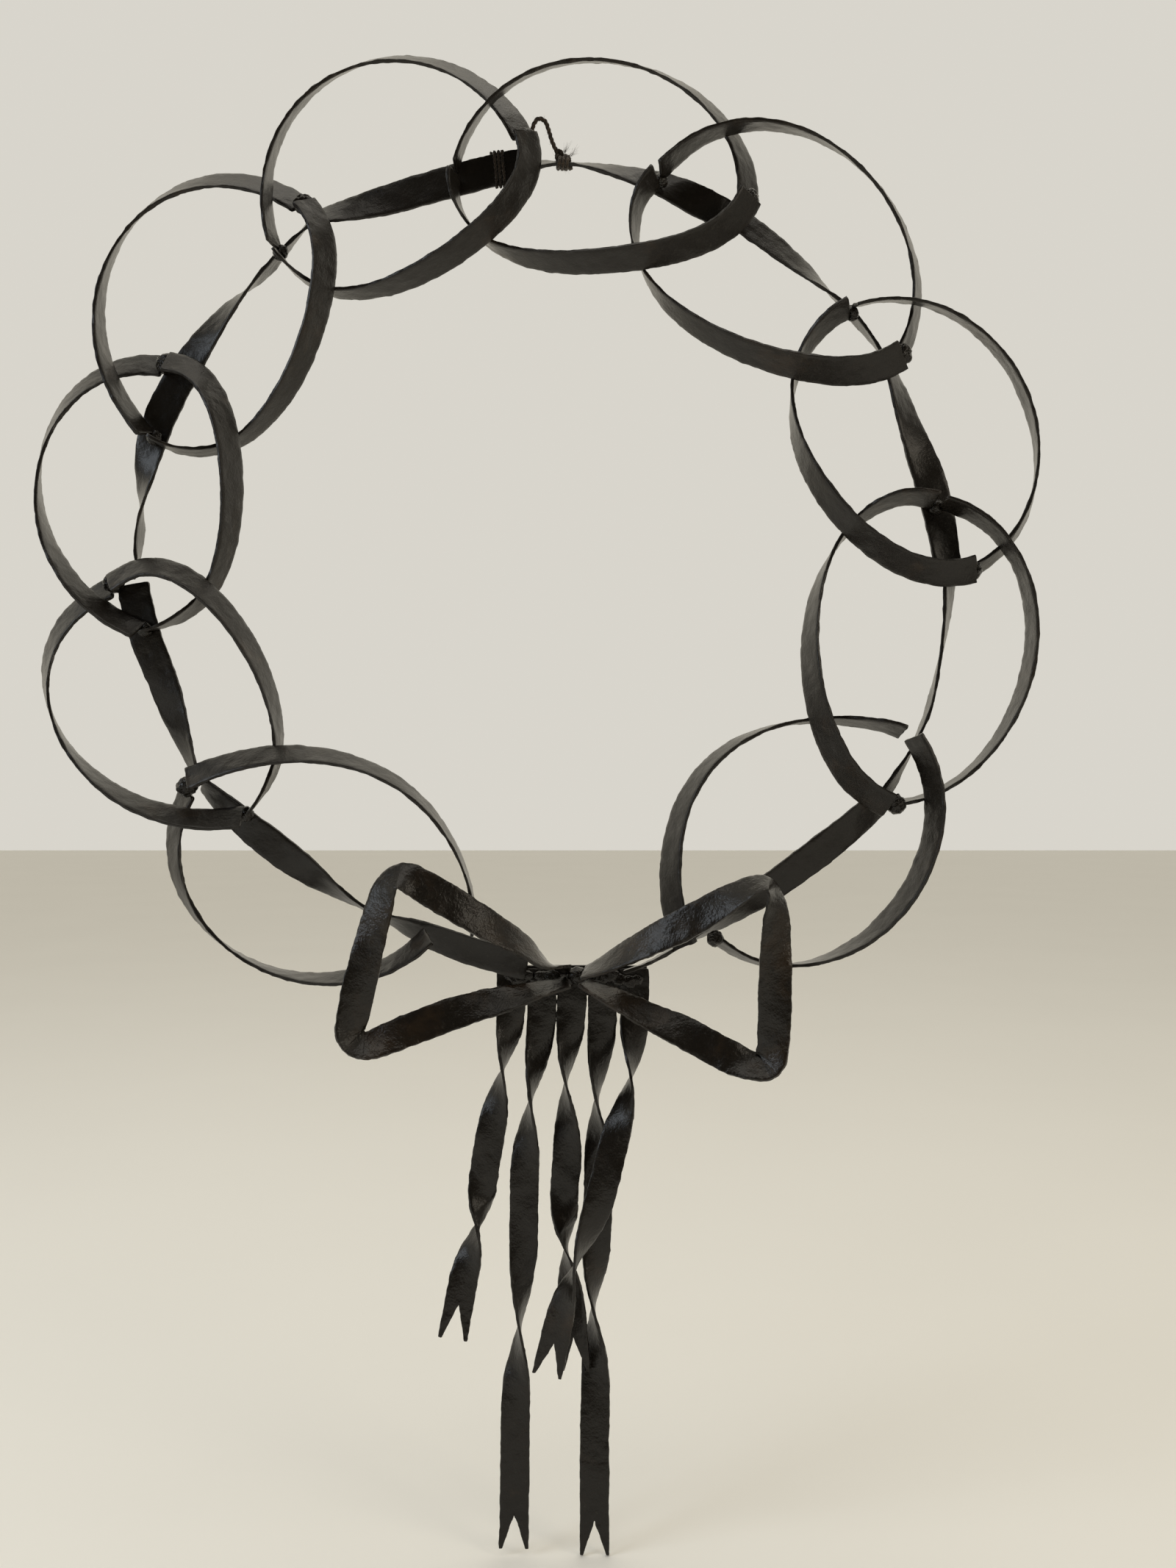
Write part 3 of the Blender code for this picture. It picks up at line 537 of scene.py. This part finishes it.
over_knot = twine_along("twine_over_knot", over_line, KNOT_TWINE)
hand_over(over_knot, twine_dye)
print("knots tied at", tuple(round(v, 3) for v in overhand_place))

# %% [markdown]
# ## Frayed ends and fuzz
#
# The cut ends have opened into separate fibres, and short hairs stand off the whole cord. Each hair is a
# short bent line with a thin three-sided tube, and all the hairs of one kind are one piece.

# %% Fibres
FRAY_RADIUS = 0.00006
FUZZ_RADIUS = 0.00004
FUZZ_LENGTH = 0.0022
FRAY_LENGTH = 0.0055
SKIN_DEPTH = 0.0010


def hairs(name, roots, length, spread, seed, thickness):
    """Short bent fibres from each root: a place and the direction that it mainly points."""
    dice = random.Random(seed)
    curve = bpy.data.curves.new(name, "CURVE")
    curve.dimensions = "3D"
    curve.bevel_depth = thickness
    curve.bevel_resolution = 0
    curve.use_fill_caps = True
    for place, heading in roots:
        reach = length * dice.uniform(0.5, 1.2)
        way = heading + Vector([dice.uniform(-spread, spread) for axis in range(3)])
        bend = Vector([dice.uniform(-0.5, 0.5) for axis in range(3)])
        spline = curve.splines.new("POLY")
        spline.points.add(3)
        for index, point in enumerate(spline.points):
            t = index / 3
            point.co = (*(place + way.normalized() * reach * t + bend * reach * t * t), 1)
            point.radius = 1 - 0.6 * t
    obj = bpy.data.objects.new(name, curve)
    bpy.context.scene.collection.objects.link(obj)
    pick(obj)
    bpy.ops.object.convert(target="MESH")
    return obj


dice = random.Random(11)
fuzz_roots = []
for line, count in ((cord_line, 110), (wrap_line, 60), (knot_line, 70), (overhand_line, 50)):
    for number in range(count):
        place = line[dice.randrange(len(line))]
        heading = Vector([dice.uniform(-1, 1) for axis in range(3)]).normalized()
        fuzz_roots.append((place + heading * SKIN_DEPTH, heading))
fuzz = hairs("twine_fuzz", fuzz_roots, FUZZ_LENGTH, 0.6, 12, FUZZ_RADIUS)
hand_over(fuzz, fuzz_dye)
fray_roots = []
for place, heading, count in (
    (overhand_place + Vector((0.0020, -0.0005, 0.0022)), Vector((0.6, -0.1, 1.0)), 26),
    (overhand_place + Vector((0.0026, -0.0005, -0.0020)), Vector((0.5, -0.2, -1.0)), 22),
    (knot_middle + Vector((0.0045, -0.0050, 0.0020)), Vector((0.8, -0.3, 0.6)), 18),
):
    for number in range(count):
        start = place + Vector([dice.uniform(-0.0007, 0.0007) for axis in range(3)])
        fray_roots.append((start, heading.normalized()))
frays = hairs("twine_frays", fray_roots, FRAY_LENGTH, 0.45, 13, FRAY_RADIUS)
hand_over(frays, fuzz_dye)
CORD_LENGTH = round(line_length(cord_line), 4)
print("fibres:", len(fuzz_roots) + len(fray_roots))

# %% [markdown]
# ## Forging the straps
#
# Each strap's solid has crisp corners and stretches of about 12 mm. A subdivision surface with its corners
# creased turns those into one flowing twist and leaves the corners barely rounded. Hammer work then
# goes on with two Displace modifiers: slow dents over the faces, and quicker nicks that are strong only
# at the edges. How near a place is to a corner is kept in a vertex group for the nicks, and in an
# attribute called rim for the paint.

# %% Hammer and nicks
CREASE = 0.82
CORNER_ANGLE = math.radians(38)
RIM_WIDTH = 0.0024
RIM_SPACING = 0.0008
SUBDIVISIONS = 3


def rough_texture(name, scale, depth):
    texture = bpy.data.textures.new(name, "CLOUDS")
    texture.noise_scale = scale
    texture.noise_depth = depth
    texture.noise_basis = "ORIGINAL_PERLIN"
    return texture


dents = rough_texture("dents", 0.016, 1)
nicks = rough_texture("nicks", 0.0052, 2)
scale_lumps = rough_texture("lumps", 0.0030, 3)


def crease_corners(obj):
    """Creases the strap's corners, and returns places close together along them."""
    edges = bmesh.new()
    edges.from_mesh(obj.data)
    layer = edges.edges.layers.float.new("crease_edge")
    places = []
    for edge in edges.edges:
        if len(edge.link_faces) == 2 and edge.calc_face_angle() > CORNER_ANGLE:
            edge[layer] = CREASE
            steps = max(2, round(edge.calc_length() / RIM_SPACING))
            ends = [vert.co.copy() for vert in edge.verts]
            places.extend(ends[0].lerp(ends[1], step / steps) for step in range(steps))
    edges.to_mesh(obj.data)
    edges.free()
    return places


def mark_rim(obj, corner_places):
    tree = kdtree.KDTree(len(corner_places))
    for index, place in enumerate(corner_places):
        tree.insert(place, index)
    tree.balance()
    nearness = [max(0.0, 1 - tree.find(vert.co)[2] / RIM_WIDTH) for vert in obj.data.vertices]
    group = obj.vertex_groups.new(name="edge")
    for index, near in enumerate(nearness):
        if near > 0:
            group.add([index], near**0.5, "REPLACE")
    attribute = obj.data.attributes.new("rim", "FLOAT", "POINT")
    attribute.data.foreach_set("value", nearness)


def hammer(obj, texture, strength, **settings):
    apply(obj, "DISPLACE", texture=texture, strength=strength, texture_coords="LOCAL", **settings)


def forge_strap(node, paint, nick=0.0016, dent=0.0009):
    obj = copy_of(node, node + "_forged")
    corner_places = crease_corners(obj)
    apply(obj, "SUBSURF", levels=SUBDIVISIONS, render_levels=SUBDIVISIONS, uv_smooth="NONE")
    mark_rim(obj, corner_places)
    hammer(obj, dents, dent, mid_level=0.5)
    hammer(obj, nicks, nick, mid_level=0.5, vertex_group="edge")
    pick(obj)
    bpy.ops.object.shade_smooth_by_angle(angle=math.radians(42))
    hand_over(obj, paint, [node])
    return obj


straps = {}
hoop_nodes = sorted(name for name in nodes if name.startswith("hoop_"))
for node in hoop_nodes:
    straps[node] = forge_strap(node, paints["hoop_paint"])
print("hoops:", len(straps), "faces in the first:", len(straps[hoop_nodes[0]].data.polygons))

# %% Backbone, bow and tails
for node in sorted(name for name in nodes if name.startswith("backbone_")):
    straps[node] = forge_strap(node, paints["backbone_paint"])
for node in ("bow_left_loop", "bow_right_loop"):
    straps[node] = forge_strap(node, paints["bow_paint"], nick=0.0018, dent=0.0011)
for node in sorted(name for name in nodes if name.startswith("tail_0")):
    straps[node] = forge_strap(node, paints["tail_paint"], nick=0.0017, dent=0.0010)
straps["cross_bar"] = forge_strap("cross_bar", paints["bar_paint"], dent=0.0004)
print("straps in all:", len(straps))

# %% [markdown]
# ## Welds
#
# Every joint has a lump of weld with a wrinkled, glassy skin under the paint. The solids are smooth lumps
# that keep clear of the straps. A voxel remesh gives such a lump an even skin, a first Displace swells it
# until it meets the straps, and a second one wrinkles it.

# %% Weld beads
WELD_SKIN = 0.00055


def puddle(obj, swell, wrinkle):
    apply(obj, "REMESH", mode="VOXEL", voxel_size=WELD_SKIN)
    apply(obj, "SMOOTH", factor=0.5, iterations=3)
    apply(obj, "DISPLACE", strength=swell, mid_level=0.0)
    hammer(obj, scale_lumps, wrinkle, mid_level=0.45)
    pick(obj)
    bpy.ops.object.shade_smooth()


weld_nodes = sorted(name for name in nodes if name.startswith("weld_") or name == "bow_weld")
for node in weld_nodes:
    bead = copy_of(node, node + "_bead")
    small = node.endswith("_start")
    puddle(bead, 0.0005 if small else 0.0007, 0.0016 if small else 0.0026)
    hand_over(bead, paints["weld_paint"], [node])
print("weld beads:", len(weld_nodes))

# %% [markdown]
# ## The weld run behind the bow
#
# The tails hang from the flat bar by a thick, uneven run of weld. It was laid in many short dabs, so it is
# made of many overlapping balls of different sizes that one remesh melts together.

# %% Weld run along the bar
run_low, run_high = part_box("tail_weld")
DABS = 26
dice = random.Random(5)
bpy.ops.object.select_all(action="DESELECT")
dabs = []
for number in range(DABS):
    share = (number + dice.uniform(0.2, 0.8)) / DABS
    size = dice.uniform(0.0030, 0.0046)
    place = (
        run_low.x + size + share * (run_high.x - run_low.x - 2 * size),
        (run_low.y + run_high.y) / 2 + dice.uniform(-0.0004, 0.0006),
        (run_low.z + run_high.z) / 2 + dice.uniform(-0.0022, 0.0022),
    )
    bpy.ops.mesh.primitive_ico_sphere_add(subdivisions=2, radius=size, location=place)
    dab = bpy.context.active_object
    dab.scale = (1.0, 0.55, 0.85)
    dabs.append(dab)
for dab in dabs:
    dab.select_set(True)
bpy.ops.object.transform_apply(location=True, rotation=True, scale=True)
bpy.ops.object.join()
weld_run = bpy.context.active_object
weld_run.name = "tail_weld_run"
puddle(weld_run, 0.0002, 0.0022)
hand_over(weld_run, paints["weld_paint"], ["tail_weld"])
print("weld run has", len(weld_run.data.polygons), "faces")

# %% [markdown]
# ## Floor and light
#
# The wreath is shown over a plain pale floor that its longest tails just clear. The light is that of a
# bright room: soft from above and from both sides, cooler on the left and warmer on the right, with less
# of it from the front, which keeps the faces of the straps dark.

# %% Floor
FLOOR_GAP = 0.0006
floor_height = low.z - FLOOR_GAP
bpy.ops.object.select_all(action="DESELECT")
bpy.ops.mesh.primitive_plane_add(size=16, location=(0, 0, floor_height))
floor = bpy.context.active_object
floor.name = "floor"
floor_recipe = Recipe("floor")
floor_tone = floor_recipe.mix(floor_recipe.noise(3, detail=2), (0.82, 0.81, 0.78), (0.85, 0.84, 0.81))
floor_grain = floor_recipe.bump(floor_recipe.noise(60, detail=3), 0.1, 0.001)
floor.data.materials.append(floor_recipe.finish(floor_tone, 0.6, floor_grain))
print("floor at", round(floor_height, 4))


# %% Room light
def soft_light(name, place, target, size, power, colour):
    data = bpy.data.lights.new(name, "AREA")
    data.shape = "RECTANGLE"
    data.size = size[0]
    data.size_y = size[1]
    data.energy = power
    data.color = colour
    light = bpy.data.objects.new(name, data)
    light.location = place
    light.rotation_euler = (Vector(target) - Vector(place)).to_track_quat("-Z", "Y").to_euler()
    bpy.context.scene.collection.objects.link(light)


middle = (low + high) / 2
soft_light("window left", (-1.7, -0.8, 0.5), middle, (0.9, 1.5), 14, (0.84, 0.92, 1.0))
soft_light("lamp right", (1.6, -1.1, 0.3), middle, (0.7, 1.0), 7, (1.0, 0.90, 0.74))
soft_light("ceiling", (0.1, -0.3, 1.7), middle, (2.0, 1.6), 15, (1.0, 0.95, 0.86))

BACKDROP_TONE = (0.69, 0.665, 0.605, 1)
DIM_FRONT = (0.02, 0.016, 0.010, 1)
BRIGHT_BEHIND = (1.0, 0.94, 0.80, 1)

world = bpy.data.worlds.new("bright room")
bpy.context.scene.world = world
world.use_nodes = True
tree = world.node_tree
tree.nodes.clear()
out = tree.nodes.new("ShaderNodeOutputWorld")
seen = tree.nodes.new("ShaderNodeBackground")
seen.inputs["Color"].default_value = BACKDROP_TONE
seen.inputs["Strength"].default_value = 1.0
room = tree.nodes.new("ShaderNodeBackground")
room.inputs["Strength"].default_value = 1.0
direction = tree.nodes.new("ShaderNodeTexCoord")
parts_of_it = tree.nodes.new("ShaderNodeSeparateXYZ")
ramp = tree.nodes.new("ShaderNodeMapRange")
for setting, value in (("From Min", -0.45), ("From Max", 0.45), ("To Min", 0.03), ("To Max", 1.0)):
    ramp.inputs[setting].default_value = value
tint = tree.nodes.new("ShaderNodeMix")
tint.data_type = "RGBA"
tint.inputs[6].default_value = DIM_FRONT
tint.inputs[7].default_value = BRIGHT_BEHIND
rays = tree.nodes.new("ShaderNodeLightPath")
blend = tree.nodes.new("ShaderNodeMixShader")
tree.links.new(direction.outputs["Generated"], parts_of_it.inputs[0])
tree.links.new(parts_of_it.outputs["Y"], ramp.inputs[0])
tree.links.new(ramp.outputs[0], tint.inputs[0])
tree.links.new(tint.outputs[2], room.inputs["Color"])
tree.links.new(rays.outputs["Is Camera Ray"], blend.inputs[0])
tree.links.new(room.outputs[0], blend.inputs[1])
tree.links.new(seen.outputs[0], blend.inputs[2])
tree.links.new(blend.outputs[0], out.inputs[0])
bpy.context.scene.view_settings.view_transform = "Standard"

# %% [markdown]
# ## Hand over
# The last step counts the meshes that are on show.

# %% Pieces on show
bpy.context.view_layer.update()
on_show = [obj for obj in bpy.data.objects if obj.type == "MESH" and not obj.hide_render]
print("pieces on show:", len(on_show))
